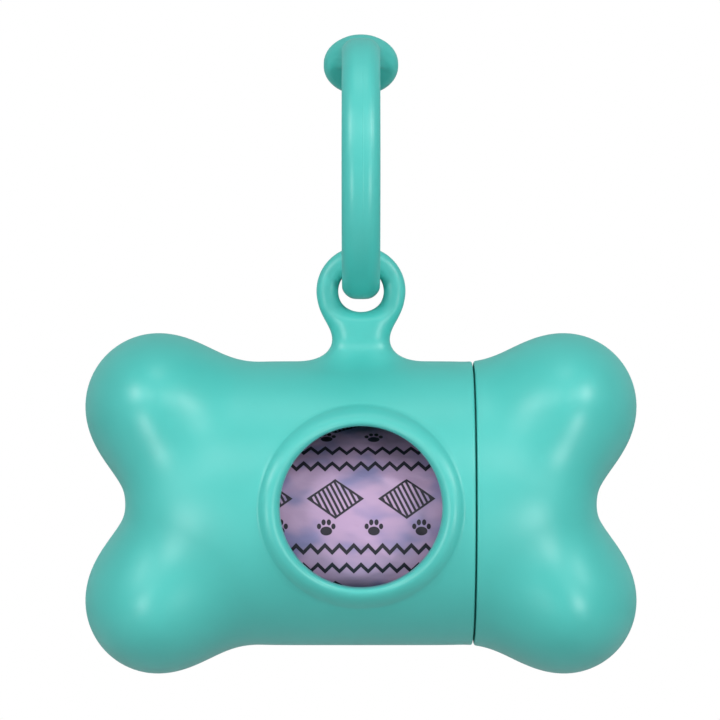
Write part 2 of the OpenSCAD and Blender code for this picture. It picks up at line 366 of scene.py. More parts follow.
# Satin silicone: two near greens mixed by the slow shade, and a bump from the grain and any mould lines.
def makeSilicone(name, grainGroup, mouldLines=()):
    material, sheet, shader, place = newMaterial(name)
    values = {"Vector": place, "Size": silicone["grainSize"], "Drift": silicone["shadeDrift"]}
    grain = sheet.group(grainGroup, values)
    shade = sheet.ramp(grain["Shade"], *silicone["shadeBand"])
    colour = sheet.mixColour(shade, silicone["deepColour"], silicone["colour"])
    height = grain["Grain"]
    if mouldLines:
        x = sheet.split(place)[0]
        for at, wide, high in mouldLines:
            away = sheet.math("ABSOLUTE", sheet.math("SUBTRACT", x, at * mm))
            height = sheet.math("ADD", height, sheet.ramp(away, 0.0, wide * mm, high, 0.0))
    middle, drift = silicone["roughness"], silicone["roughDrift"]
    rough = sheet.ramp(grain["Shade"], *silicone["roughBand"], middle - drift, middle + drift)
    sheet.fill(shader.inputs, {
        "Base Color": colour,
        "Roughness": rough,
        "Normal": sheet.bump(height, silicone["grainDepth"]),
        "IOR": silicone["ior"],
        "Specular IOR Level": silicone["specular"],
        "Subsurface Weight": silicone["subsurface"],
        "Subsurface Radius": silicone["subsurfaceRadius"],
        "Subsurface Scale": silicone["subsurfaceDepth"],
    })
    return material


film = {
    "colour": (0.475, 0.325, 0.51),
    "deepColour": (0.24, 0.22, 0.42),
    "ink": (0.010, 0.008, 0.018),
    "roughness": 0.40,
    "inkRoughness": 0.55,
    "coat": 0.10,
    "coatRoughness": 0.25,
    "stretch": (0.6, 1.0, 1.0),
    "layerScale": 190.0,    # noise that says where the film lies close, and between which of its values
    "layerBand": (0.33, 0.56),
    "foldScale": 330.0,
    "foldDepth": 0.0006,    # in metres
    "foldStrength": 0.45,
    "repeats": 6,           # times that the print repeats round the roll
    "radius": 16.5,
    "phase": 0.5,
}


# 1 inside an ellipse given by its middle and its two half sizes, with a thin soft edge.
def makeSpotGroup():
    inputs = [(name, "NodeSocketFloat", 0.0) for name in ("U", "V", "At U", "At V")]
    inputs += [(name, "NodeSocketFloat", 1.0) for name in ("Half U", "Half V")]
    group, sheet, given, out = newGroup("printedSpot", inputs, [("Mask", "NodeSocketFloat")])
    parts = []
    for axis in "UV":
        away = sheet.math("SUBTRACT", given[axis], given["At " + axis])
        share = sheet.math("ABSOLUTE", sheet.math("DIVIDE", away, given["Half " + axis]))
        parts.append(sheet.math("POWER", share, 2.0))
    radius = sheet.math("SQRT", sheet.math("ADD", *parts))
    sheet.fill(out, {"Mask": sheet.ramp(radius, 0.94, 1.06, 1.0, 0.0)})
    return group


# Distance from the middle of the nearest cell, for a pattern that repeats every given length.
def repeatEvery(sheet, value, length, shift=0.0):
    cell = sheet.math("ADD", sheet.math("DIVIDE", value, length), shift)
    return sheet.math("MULTIPLY", sheet.math("SUBTRACT", sheet.math("FRACT", cell), 0.5), length)


printRows = {
    "zigzagRows": (1.7, 5.0),       # places up the repeat, in mm, of the two zigzag bands
    "zigzagHigh": 1.25,
    "zigzagEvery": 2.3,
    "zigzagLine": 0.42,
    "pawRow": 8.5,
    "pawEvery": 7.6,
    "pawShift": 0.23,
    "lozengeRow": 13.2,
    "lozengeEvery": 11.4,
    "lozengeShift": 0.86,
    "lozengeHalf": (4.3, 3.1),
    "outline": 0.35,
    "hatchEvery": 0.85,
    "hatchLine": 0.22,
    "softEdge": 0.04,
    "spots": [                      # pad and four toes of a paw: place and half sizes in mm
        (0.0, -0.55, 0.95, 0.72), (-1.15, 0.2, 0.34, 0.46), (-0.42, 0.85, 0.34, 0.48),
        (0.42, 0.85, 0.34, 0.48), (1.15, 0.2, 0.34, 0.46),
    ],
}


# Place along the roll, and turns round its axis: the angle whose tangent is y over z, over a whole turn.
def roundRoll(sheet, place):
    x, y, z = sheet.split(place)
    axis = jointPlace["roll_spin"] * mm
    angle = sheet.math("ARCTAN2", sheet.math("SUBTRACT", y, axis[1]), sheet.math("SUBTRACT", z, axis[2]))
    return x, sheet.math("DIVIDE", angle, 2 * math.pi)


# Ink over the film, on a grid along and round the roll: two zigzag bands, a row of paw marks, and a row of
# hatched lozenges. Each mask is 1 where the distance to the motif's line or edge is below 0.
def makeFilmInk(sheet, place, spotGroup):
    x, turns = roundRoll(sheet, place)
    along = sheet.math("DIVIDE", x, mm)
    rounds = sheet.math("MULTIPLY", sheet.math("ADD", turns, film["phase"]), film["repeats"])
    period = 2 * math.pi * film["radius"] / film["repeats"]
    up = sheet.math("MULTIPLY", sheet.math("FRACT", rounds), period)

    def within(distance):
        return sheet.ramp(distance, -printRows["softEdge"], printRows["softEdge"], 1.0, 0.0)

    def unsigned(value):
        return sheet.math("ABSOLUTE", value)

    masks = []
    high, every = printRows["zigzagHigh"], printRows["zigzagEvery"]
    for row, centre in enumerate(printRows["zigzagRows"]):
        across = repeatEvery(sheet, along, every, 0.5 * row)
        tooth = sheet.math("MULTIPLY", sheet.math("SUBTRACT", unsigned(across), every / 4), 2 * high / every)
        away = unsigned(sheet.math("SUBTRACT", sheet.math("SUBTRACT", up, centre), tooth))
        masks.append(within(sheet.math("SUBTRACT", away, printRows["zigzagLine"])))

    across = repeatEvery(sheet, along, printRows["pawEvery"], printRows["pawShift"])
    lift = sheet.math("SUBTRACT", up, printRows["pawRow"])
    for atU, atV, halfU, halfV in printRows["spots"]:
        values = {"U": across, "V": lift, "At U": atU, "At V": atV, "Half U": halfU, "Half V": halfV}
        masks.append(sheet.group(spotGroup, values)["Mask"])

    across = repeatEvery(sheet, along, printRows["lozengeEvery"], printRows["lozengeShift"])
    lift = sheet.math("SUBTRACT", up, printRows["lozengeRow"])
    halfU, halfV = printRows["lozengeHalf"]
    shareU = sheet.math("DIVIDE", unsigned(across), halfU)
    shareV = sheet.math("DIVIDE", unsigned(lift), halfV)
    reach = sheet.math("SUBTRACT", sheet.math("ADD", shareU, shareV), 1.0)
    edge = sheet.math("MULTIPLY", reach, halfU * halfV / math.hypot(halfU, halfV))
    slant = sheet.math("ADD", across, sheet.math("MULTIPLY", lift, 0.5))
    line = unsigned(repeatEvery(sheet, slant, printRows["hatchEvery"]))
    hatch = within(sheet.math("SUBTRACT", line, printRows["hatchLine"]))
    masks.append(sheet.math("MULTIPLY", within(edge), hatch))
    masks.append(within(sheet.math("SUBTRACT", unsigned(edge), printRows["outline"] / 2)))

    ink = masks[0]
    for mask in masks[1:]:
        ink = sheet.math("MAXIMUM", ink, mask)
    return ink


# Thin film: lilac where it lies close on the turns below, blue where it stands off, and fine folds in a bump.
def makeFilm(spotGroup):
    material, sheet, shader, place = newMaterial("printed_film")
    ink = makeFilmInk(sheet, place, spotGroup)
    stretched = sheet.stretch(place, film["stretch"])
    close = sheet.ramp(sheet.noise(stretched, film["layerScale"], 2.0, 0.45), *film["layerBand"])
    lilac = sheet.mixColour(close, film["deepColour"], film["colour"])
    colour = sheet.mixColour(ink, lilac, film["ink"])
    folds = sheet.noise(stretched, film["foldScale"], 3.0, 0.5)
    sheet.fill(shader.inputs, {
        "Base Color": colour,
        "Roughness": sheet.ramp(ink, 0.0, 1.0, film["roughness"], film["inkRoughness"]),
        "Normal": sheet.bump(folds, film["foldDepth"], film["foldStrength"]),
        "Coat Weight": film["coat"],
        "Coat Roughness": film["coatRoughness"],
    })
    return material


card = {
    "colour": (0.46, 0.31, 0.17),
    "deepColour": (0.33, 0.21, 0.11),
    "roughness": 0.85,
    "turn": 0.011,          # rise of the spiral joint in one turn, this and the two below in metres
    "fibre": 0.0009,
    "bumpDepth": 0.00008,
    "bumpStrength": 0.7,
    "stretch": (3.0, 0.5, 0.5),
    "drift": 0.6,
    "grainBand": (0.3, 0.7),
    "jointWide": 0.03,      # as a share of its rise
}


# Wound card: fibres drawn out round the tube, and a spiral joint where the strips meet.
def makeCardboard(grainGroup):
    material, sheet, shader, place = newMaterial("wound_card")
    fibres = sheet.stretch(place, card["stretch"])
    grain = sheet.group(grainGroup, {"Vector": fibres, "Size": card["fibre"], "Drift": card["drift"]})
    x, turns = roundRoll(sheet, place)
    spiral = sheet.math("ADD", sheet.math("DIVIDE", x, card["turn"]), turns)
    joint = repeatEvery(sheet, spiral, 1.0)
    gap = sheet.ramp(sheet.math("ABSOLUTE", joint), 0.0, card["jointWide"], 1.0, 0.0)
    shade = sheet.ramp(grain["Grain"], *card["grainBand"])
    colour = sheet.mixColour(shade, card["deepColour"], card["colour"])
    colour = sheet.mixColour(gap, colour, card["deepColour"])
    height = sheet.math("SUBTRACT", grain["Grain"], gap)
    bump = sheet.bump(height, card["bumpDepth"], card["bumpStrength"])
    sheet.fill(shader.inputs, {"Base Color": colour, "Normal": bump, "Roughness": card["roughness"]})
    return material


grainGroup = makeGrainGroup()
spotGroup = makeSpotGroup()
caseMaterial = makeSilicone("case_silicone", grainGroup)
strapMaterial = makeSilicone("strap_silicone", grainGroup, silicone["strapLines"])
filmMaterial = makeFilm(spotGroup)
cardMaterial = makeCardboard(grainGroup)
print("materials made")


# Turns a polyline of (x, radius) points into one whose corners are rounded over a length of about r.
def softCorners(profile, r, steps=3):
    p = np.array(profile, float)
    rows = [p[0]]
    for before, here, after in zip(p, p[1:], p[2:]):
        a, b = before - here, after - here
        cut = min(r, np.hypot(*a) / 2, np.hypot(*b) / 2)
        start, stop = here + a / np.hypot(*a) * cut, here + b / np.hypot(*b) * cut
        for t in np.linspace(0, 1, steps + 1):
            rows.append((1 - t) ** 2 * start + 2 * t * (1 - t) * here + t * t * stop)
    rows.append(p[-1])
    return np.array(rows)


# Rows of a profile of (x, radius) points turned round the X axis.
def turnedRows(profile, turn):
    x, r = np.array(profile, float).T
    return aroundX(x[:, None], r[:, None], turn)


# Rounded outer edge of the bone at a seam: the skin rolls over by a quarter turn towards the flat face.
def seamEdge(x, end, turn, r, steps=6):
    rows = []
    for a in degrees(0, 90, steps):
        at = x + end * r * (1 - math.sin(a))
        skin = skinGrid(end, [at], [0], turn, 0)[0]
        keep = 1 - r * (1 - math.cos(a)) / np.hypot(skin[:, 1], skin[:, 2])
        rows.append(skin * np.stack([np.ones_like(keep), keep, keep], -1))
    return np.array(rows)


# Rows of the bone's skin outwards to its pole: square to X at each of squareX, and then fanned out from fanX.
def endRows(end, squareX, fanX, fanRows, turn, inset):
    lean = degrees(0, 90, fanRows + 1)[1:]
    rowX = np.concatenate([squareX, np.full(fanRows, fanX)])
    rowLean = np.concatenate([np.zeros(len(squareX)), lean])
    rows = skinGrid(end, rowX, rowLean, turn, inset)
    rows[-1] = rows[-1, 0]
    return rows


skinStep = 1.5              # degrees between the columns of the skin, once round the bone
skinTurn = np.radians(np.arange(-90, 270, skinStep))


# Column of the skin at an angle in degrees.
def columnAt(angle):
    return round((angle + 90) / skinStep)


shell = {
    "seamX": 18.12,
    "edgeRound": 0.35,      # rounding of the edges at the seam
    "fanX": 20.0,           # rows stand square to X up to here, and fan out beyond it
    "fanRows": 62,
    "backRows": 40,
    "stepX": (18.4, 19.2),  # rows between the window's patch and the fan, outside and then inside
    "backStepX": (14.6, 16.2, 18.0),
    "seamR": 22.3,          # outside radius at which the flat face of the seam begins
    "mouthRound": 0.12,
    "mouth": [
        (18.12, 21.58), (16.2, 21.58), (15.8, 21.7), (15.0, 21.7), (14.6, 21.58), (13.4, 21.58),
        (13.4, 20.15),
    ],
}

window = {
    "holeR": 12.88,
    "block": 17.6,          # half size of the square patch of skin that the rim stands in
    "blockTurn": (40.5, 139.5),
    "rows": 48,
    "footR": 16.25,
    "crestR": 14.4,
    "height": 1.15,
    "bulge": 2.2,           # power of the curve with which the rim rises from its foot
    "roll": 1.7,            # radius with which the rim rolls into the hole
    "backRound": 0.3,
    "backBlock": 13.35,
    "backTurn": (48.0, 132.0),
    "backRows": 58,
}

eye = {
    "rise": 34.67,          # height of the ring's middle above the bone's
    "holeR": 3.723,
    "ringW": 3.55,
    "depth": 6.2,
    "round": 1.55,
    "stemHalf": 3.6,
    "stemDepth": 2.75,
    "stemRound": 1.6,
    "stemTop": 29.0,
    "ringBlend": 4.2,
    "footBlend": 6.5,
    "footHalf": (11.5, 9.5),    # half sizes of the patch that the stem's foot spreads over
    "footZ": 20.5,          # lowest height at which it does
    "blockRows": 24,        # rows and half turn of the patch of skin that the stem grows out of
    "blockTurn": 16.5,
    "turns": 104,           # points round the ring
    "section": 48,          # points round the ring's section
    "sleeveRows": 15,
}
ringMidR = eye["holeR"] + eye["ringW"] / 2


# Below 0 inside the eye: a ring of rounded box section, smoothly joined to a short stem.
def eyeField(p):
    x, y, z = p[..., 0], p[..., 1], p[..., 2]
    fromRing = np.hypot(x, z - eye["rise"]) - ringMidR
    ring = boxDistance(fromRing, y, eye["ringW"] / 2, eye["depth"] / 2, eye["round"])
    sides = boxDistance(x, y, eye["stemHalf"], eye["stemDepth"], eye["stemRound"])
    return smoothMin(ring, np.maximum(sides, z - eye["stemTop"]), eye["ringBlend"])


# Below 0 inside the bone or its eye, joined smoothly at the stem's foot.
def shellField(p):
    return smoothMin(eyeField(p), boneField(p), eye["footBlend"])


# Ring of the eye: turn goes round its hole from the top, and section round its cross-section.
def ringGrid():
    turn = degrees(0, 360, eye["turns"] + 1)[:, None]
    section = degrees(0, 360, eye["section"] + 1)[None, :-1]
    r = ringMidR - eye["ringW"] / 2 * np.cos(section)
    y = -eye["depth"] / 2 * np.sin(section) + 0 * turn
    rows = np.stack([r * np.sin(turn), y, eye["rise"] + r * np.cos(turn)], -1)
    rows[-1] = rows[0]
    return rows


# How far the skin lies to the front of each place (x, z).
def frontOf(x, z, inset):
    origin = np.stack([x, np.zeros_like(x), z], -1)
    direction = np.broadcast_to(np.array((0, -1.0, 0)), origin.shape)
    return reachOf(lambda p: boneField(p, inset), origin, direction, 40)


# Patch of skin round the window, from the edge of its block to the rim's foot, and then over the rim:
# a bulge that rises from the foot to the crest, and a quarter circle that rolls into the hole.
def rimRows(edge):
    turn = np.arctan2(edge[:, 2], edge[:, 0])
    edgeR = np.hypot(edge[:, 0], edge[:, 2])
    foot, crest, high = window["footR"], window["crestR"], window["height"]
    rows = [(edgeR + share * (foot + 0.12 - edgeR), 0.0) for share in np.linspace(0, 1, 8)[1:]]
    outward, inward = np.linspace(1, 0, 14)[1:], degrees(0, 90, 13)[1:]
    rows += list(zip(crest + (foot - crest) * outward, high * (1 - outward ** window["bulge"])))
    inR = crest - (crest - window["holeR"]) * np.sin(inward)
    rows += list(zip(inR, high - window["roll"] * (1 - np.cos(inward))))
    points = []
    for r, height in rows:
        x, z = r * np.cos(turn), r * np.sin(turn)
        points.append(np.stack([x, -frontOf(x, z, 0) - height, z], -1))
    return np.array(points)


# Wall of the window's hole and its rounded back edge, ending on the edge of the inner skin's block.
def holeRows(front, backEdge):
    startTurn = np.arctan2(front[:, 2], front[:, 0])
    endTurn = np.arctan2(backEdge[:, 2], backEdge[:, 0])
    drift = (endTurn - startTurn + math.pi) % (2 * math.pi) - math.pi
    r, small = window["holeR"], window["backRound"]

    def ringAt(ringR, turn, height=None, lift=0.0):
        x, z = ringR * np.cos(turn), ringR * np.sin(turn)
        y = -frontOf(x, z, bone["wall"]) - lift if height is None else height
        return np.stack([x, y, z], -1)

    back = ringAt(r, endTurn, lift=small)[:, 1]
    rows = []
    for share in np.linspace(0, 1, 7)[1:]:
        rows.append(ringAt(r, startTurn + share * drift, front[:, 1] + share * (back - front[:, 1])))
    for a in degrees(30, 90, 3):
        rows.append(ringAt(r + small * (1 - math.cos(a)), endTurn, lift=small * (1 - math.sin(a))))
    rows.append(ringAt((r + small + np.hypot(backEdge[:, 0], backEdge[:, 2])) / 2, endTurn))
    return np.array(rows + [backEdge])


# Rows of points that lead from one loop to another with as many points, whichever way round it runs.
def sleeve(low, high, count):
    ways = [np.roll(loop, k, axis=0) for loop in (high, high[::-1]) for k in range(len(high))]
    best = ways[int(np.argmin([((low - way) ** 2).sum() for way in ways]))]
    return low + np.linspace(0, 1, count + 1)[:, None, None] * (best - low)


# The left part of the bone as one skin: from its pole over the outside to the seam, into the mouth, and back
# along the inside. Blocks of it are left out, where the window's rim and wall and the eye's stem join in.
def makeShell():
    work = Patchwork()
    fanX = -shell["fanX"]
    blockX = np.linspace(window["block"], -window["block"], window["rows"] + 1)
    frontX = np.concatenate([blockX, -np.array(shell["stepX"]), [fanX]])
    outside = endRows(-1, frontX, fanX, shell["fanRows"], skinTurn, 0)
    edge = seamEdge(shell["seamX"], -1, skinTurn, shell["edgeRound"])
    mouth = [(shell["seamX"], shell["seamR"])] + shell["mouth"]
    mouth = turnedRows(softCorners(mouth, shell["mouthRound"])[1:], skinTurn)
    blockX = np.linspace(window["backBlock"], -window["backBlock"], window["backRows"] + 1)
    backX = np.concatenate([blockX, -np.array(shell["backStepX"]), [fanX]])
    inside = endRows(-1, backX, fanX, shell["backRows"], skinTurn, bone["wall"])
    skin = np.concatenate([outside[::-1], edge, mouth, inside])

    lastOut = len(outside) - 1
    windowRows = (lastOut - window["rows"], lastOut)
    windowBlock = (windowRows, tuple(columnAt(a) for a in window["blockTurn"]))
    middle = lastOut - window["rows"] // 2
    half = eye["blockRows"] // 2
    stemBlock = ((middle - half, middle + half), (columnAt(-eye["blockTurn"]), columnAt(eye["blockTurn"])))
    firstIn = len(skin) - len(inside)
    backBlock = ((firstIn, firstIn + window["backRows"]), tuple(columnAt(a) for a in window["backTurn"]))
    keep = facesOutside((len(skin) - 1, len(skinTurn)), windowBlock, stemBlock, backBlock)
    work.add(skin, keep=keep)

    edge = skin[blockEdge(*windowBlock)]
    rim = rimRows(edge)
    backEdge = skin[blockEdge(*backBlock)]
    around = sleeve(rim[-1], backEdge, 1)[1]
    work.add(np.concatenate([edge[None], rim, holeRows(rim[-1], around)]))

    ring = ringGrid()
    columns = columnAt(eye["blockTurn"]) - columnAt(-eye["blockTurn"])
    ringShape = (eye["turns"], eye["section"])
    ringBlock = middleBlock(ringShape, (eye["blockRows"], columns))
    work.add(ring, keep=facesOutside(ringShape, ringBlock))
    work.add(sleeve(skin[blockEdge(*stemBlock)], ring[blockEdge(*ringBlock)], eye["sleeveRows"]))

    points, faces = work.weld()
    # Only the eye, and the outer skin near its stem, are drawn onto the joined surface.
    footX, footY = eye["footHalf"]
    fromStem = np.maximum(np.abs(points[:, 0]) - footX, np.abs(points[:, 1]) - footY)
    nearEye = (fromStem < 1.4) & (points[:, 2] > eye["footZ"]) & (boneField(points) > -1.0)
    points[nearEye] = ontoSurface(points[nearEye], shellField)
    freedom = np.clip(-np.maximum(fromStem, points[:, 2] - eye["rise"] + 1) / 1.5, 0, 1) * nearEye
    return relax(points, faces, freedom, shellField, 60), faces


addPiece("shell_case", *makeShell(), "shell", "soft_case", caseMaterial, ["main_shell"], bonePlace)


cap = {
    "seamX": 18.4,
    "firstX": (19.3, 19.0),     # first rows outside and inside, and the steps between rows
    "stepX": (0.72, 1.25),
    "fanX": 24.0,
    "neckRound": 0.15,
    "neck": [
        (18.4, 21.5), (16.0, 21.5), (15.7, 21.56), (15.1, 21.56), (14.8, 21.5), (14.3, 21.5), (13.7, 21.1),
        (13.7, 20.0), (18.6, 20.0),
    ],
}


# The right part of the bone as one skin: over the outside to the seam, round the neck, and along the inside.
def makeCap():
    work = Patchwork()
    firstX, stepX, stopX = cap["firstX"], cap["stepX"], cap["fanX"] + 0.1
    outX, inX = (np.arange(first, stopX, step) for first, step in zip(firstX, stepX))
    outside = endRows(1, outX, cap["fanX"], shell["fanRows"], skinTurn, 0)
    edge = seamEdge(cap["seamX"], 1, skinTurn, shell["edgeRound"])
    neck = [(cap["seamX"], shell["seamR"])] + cap["neck"]
    neck = turnedRows(softCorners(neck, cap["neckRound"])[1:], skinTurn)
    inside = endRows(1, inX, cap["fanX"], shell["backRows"], skinTurn, bone["wall"])
    work.add(np.concatenate([outside[::-1], edge, neck, inside]))
    return work.weld()


addPiece("cap_case", *makeCap(), "cap", "soft_case", caseMaterial, ["end_cap"], bonePlace)


strap = {
    "centreZ": -16.9,       # middle of the loop, below the origin
    "loopR": 19.125,
    "halfW": 3.1,
    "halfT": 2.225,
    "round": 2.05,
    "points": 88,           # points round the strap's section, and rows of its loop and tail
    "loopRows": 112,
    "tailRows": 42,
    "tailTurn": 150.0,      # where the tail leaves the loop's circle and bends inwards
    "tailShift": 2.478,
    "tipTurn": 8.5,
    "tipRound": 1.2,
    "knobTurn": 22.3,       # where the knob's stem leaves the tail
    "crown": (0.36, 0.12),  # how far the outer and inner faces fall off towards the edges
    "eyeletTurn": 30.5,
    "eyeletR": 20.6,        # distance of the eyelet's middle from the loop's
    "eyeletTilt": 40.0,     # of its axis, backwards from upright
    "discR": 6.2,
    "discHalfT": 1.8,
    "discRound": 1.5,
    "holeR": 2.5,
    "holeRound": 0.7,
    "thinFrom": 4.0,        # turns between which the strap thins down to the disc's thickness
    "thinTo": 20.0,
    "joinTurn": 6.0,        # where the strap's own rows end
    "bandEnd": 22.5,        # where the strap itself ends, inside the disc
    "degree": 0.33,         # mm along the strap to a degree of turn
    "underDrop": 3.2,       # how far down the disc's underside is first moved
    "joinBlend": 1.8,
    "knobStemR": 2.2,
    "knobRound": 0.25,
    "knob": [
        (2.2, 2.1), (3.75, 2.1), (3.8, 2.55), (3.62, 3.25), (3.0, 3.9), (1.9, 4.32), (0.9, 4.46), (0.0, 4.48),
    ],
    "knobRows": 8,          # half the rows and columns of the tail's skin that the knob takes the place of
    "knobColumns": 14,
    "knobStep": 1.12,       # degrees between those rows
    "disc": (96, 48),       # points round the disc and its section, and the block of it that the strap joins
    "discBlock": (20, 24),
    "sleeveRows": 10,
}


# Direction square to X, at a turn in degrees from +Z towards +Y.
def outwardAt(turn):
    return np.array((0, math.sin(math.radians(turn)), math.cos(math.radians(turn))))


loopCentre = np.array((0, 0, strap["centreZ"]))
tailMiddle = loopCentre + strap["tailShift"] * outwardAt(strap["tailTurn"])
tailR = strap["loopR"] - strap["tailShift"]
eyeletAxis = outwardAt(strap["eyeletTilt"])
eyeletAlong = outwardAt(strap["eyeletTilt"] + 90)
eyeletCentre = loopCentre + strap["eyeletR"] * outwardAt(strap["eyeletTurn"])


# Place of a point as seen from the eyelet: across the strap, along it, and up the eyelet's axis.
def fromEyelet(p):
    q = p - eyeletCentre
    return q[..., 0], q @ eyeletAlong, q @ eyeletAxis


# The point at such a place.
def atEyelet(x, along, high):
    x, along, high = (value[..., None] for value in np.broadcast_arrays(x, along, high))
    return eyeletCentre + x * np.array((1.0, 0, 0)) + along * eyeletAlong + high * eyeletAxis


# Points once round a rounded box of half sizes a by b, evenly spaced, from the middle of side +b.
def boxOutline(a, b, r, count):
    fine = []
    for q, (sx, sy) in enumerate(((1, 1), (1, -1), (-1, -1), (-1, 1))):
        t = degrees(90 - 90 * q, -90 * q, 16)
        fine.append(np.stack([sx * (a - r) + r * np.cos(t), sy * (b - r) + r * np.sin(t)], -1))
    fine = np.concatenate([[[0, b]], *fine, [[0, b]]])
    length = np.concatenate([[0], np.cumsum(np.hypot(*np.diff(fine, axis=0).T))])
    at = np.linspace(0, length[-1], count + 1)[:-1]
    return np.stack([np.interp(at, length, fine[:, k]) for k in (0, 1)], -1)


# Middle radius, half thickness and corner of the strap at a turn, which pass smoothly into the eyelet disc's.
def strapShape(turn):
    share = np.clip((turn - strap["thinFrom"]) / (strap["thinTo"] - strap["thinFrom"]), 0, 1)
    share = share * share * (3 - 2 * share)
    return (
        strap["loopR"] + share * (strap["eyeletR"] - strap["loopR"]),
        strap["halfT"] + share * (strap["discHalfT"] - strap["halfT"]),
        strap["round"] + share * (strap["discRound"] - strap["round"]),
    )


# Share of its height that the strap's section keeps across its width: 1 in the middle, less by the square.
def crownScale(x, high):
    share = np.where(high > 0, *strap["crown"]) / strap["halfT"]
    return 1 - share * np.minimum(np.abs(x) / strap["halfW"], 1) ** 2


# One row of the strap: its section stood across the path, at a turn from +Z towards +Y round a middle.
def strapRow(turn, middle, r, halfW, halfT, corner):
    outline = boxOutline(halfW, halfT, corner, strap["points"])
    high = r + outline[:, 1] * crownScale(outline[:, 0], outline[:, 1])
    return middle + outline[:, :1] * np.array((1.0, 0, 0)) + high[:, None] * outwardAt(turn)


# Below 0 inside the strap near the eyelet, and inside the eyelet disc with its hole, joined smoothly.
def eyeletField(p):
    q = p - loopCentre
    turn = np.degrees(np.arctan2(q[..., 1], q[..., 2]))
    middle, halfT, corner = strapShape(turn)
    high = np.hypot(q[..., 1], q[..., 2]) - middle
    band = boxDistance(q[..., 0], high / crownScale(q[..., 0], high), strap["halfW"], halfT, corner)
    band = np.maximum(band, (turn - strap["bandEnd"]) * strap["degree"])
    x, along, high = fromEyelet(p)
    r = np.hypot(x, along)
    disc = boxDistance(r, high, strap["discR"], strap["discHalfT"], strap["discRound"])
    return -smoothMin(-smoothMin(band, disc, strap["joinBlend"]), r - strap["holeR"], strap["holeRound"])


# The eyelet disc as a ring: a goes round its hole from the far side, and b round its section from the hole.
def discGrid(turns, section):
    a = degrees(0, 360, turns + 1)[:, None]
    b = degrees(0, 360, section + 1)[None, :-1]
    midR, halfR = (strap["discR"] + strap["holeR"]) / 2, (strap["discR"] - strap["holeR"]) / 2
    pull = np.maximum(np.abs(np.cos(b)), np.abs(np.sin(b))) ** 0.6
    r = midR - halfR * np.cos(b) / pull
    points = atEyelet(r * np.sin(a), r * np.cos(a), strap["discHalfT"] * np.sin(b) / pull)
    points[-1] = points[0]
    return points


# Rows of the strap from its rounded tip along the tail, and then once round the loop to the eyelet.
# Also gives the number of the first row under the knob's stem.
def strapRows():
    sizes = (strap["halfW"], strap["halfT"], strap["round"])
    tipLength = math.degrees(strap["tipRound"] / tailR)
    rows = []
    for share in degrees(0, 90, 9)[:-1]:
        inset = strap["tipRound"] * (1 - math.sin(share))
        turn = strap["tipTurn"] + tipLength * (1 - math.cos(share))
        rows.append(strapRow(turn, tailMiddle, tailR, *[max(size - inset, 0.02) for size in sizes]))
    rows.insert(0, np.broadcast_to(rows[0].mean(0), rows[0].shape).copy())

    halfKnob = strap["knobRows"] * strap["knobStep"]
    firstEven, lastEven = strap["knobTurn"] - halfKnob, strap["knobTurn"] + halfKnob
    firstKnob = len(rows) + 2
    tailTurns = np.concatenate([
        np.linspace(strap["tipTurn"] + tipLength, firstEven, 3)[:-1],
        np.linspace(firstEven, lastEven, 2 * strap["knobRows"] + 1),
        np.linspace(lastEven, strap["tailTurn"], strap["tailRows"])[1:-1],
    ])
    rows += [strapRow(turn, tailMiddle, tailR, *sizes) for turn in tailTurns]
    for turn in np.linspace(strap["tailTurn"], 360 + strap["joinTurn"], strap["loopRows"]):
        r, halfT, corner = strapShape(turn - 360)
        rows.append(strapRow(turn, loopCentre, r, strap["halfW"], halfT, corner))
    return np.array(rows), firstKnob


# Below 0 inside the strap's tail.
def tailField(p):
    q = p - tailMiddle
    high = np.hypot(q[..., 1], q[..., 2]) - tailR
    scaled = high / crownScale(q[..., 0], high)
    return boxDistance(q[..., 0], scaled, strap["halfW"], strap["halfT"], strap["round"])


# Rows from the edge of the tail's block in to the knob's stem, and up over the knob: circles round the
# eyelet's axis, the outer ones dropped onto the tail.
def knobPatch(edge):
    x, along, _ = fromEyelet(edge)
    turn, edgeR = np.arctan2(along, x), np.hypot(along, x)

    def circle(r, high):
        return atEyelet(r * np.cos(turn), r * np.sin(turn), high)

    patch = [edge]
    stemR, startHigh = strap["knobStemR"], -5.0
    for share in np.linspace(0, 1, 5)[1:]:
        r = edgeR + share * (stemR + 0.15 - edgeR)
        start = circle(r, startHigh)
        reach = reachOf(tailField, start, np.broadcast_to(eyeletAxis, start.shape), 8)
        patch.append(circle(r, startHigh + reach))
    top = fromEyelet(patch[-1])[2]
    patch += [circle(stemR + 0.04, top + 0.05), circle(stemR, top + 0.16)]
    patch += [circle(r, high) for r, high in softCorners(strap["knob"], strap["knobRound"])]
    return np.array(patch)


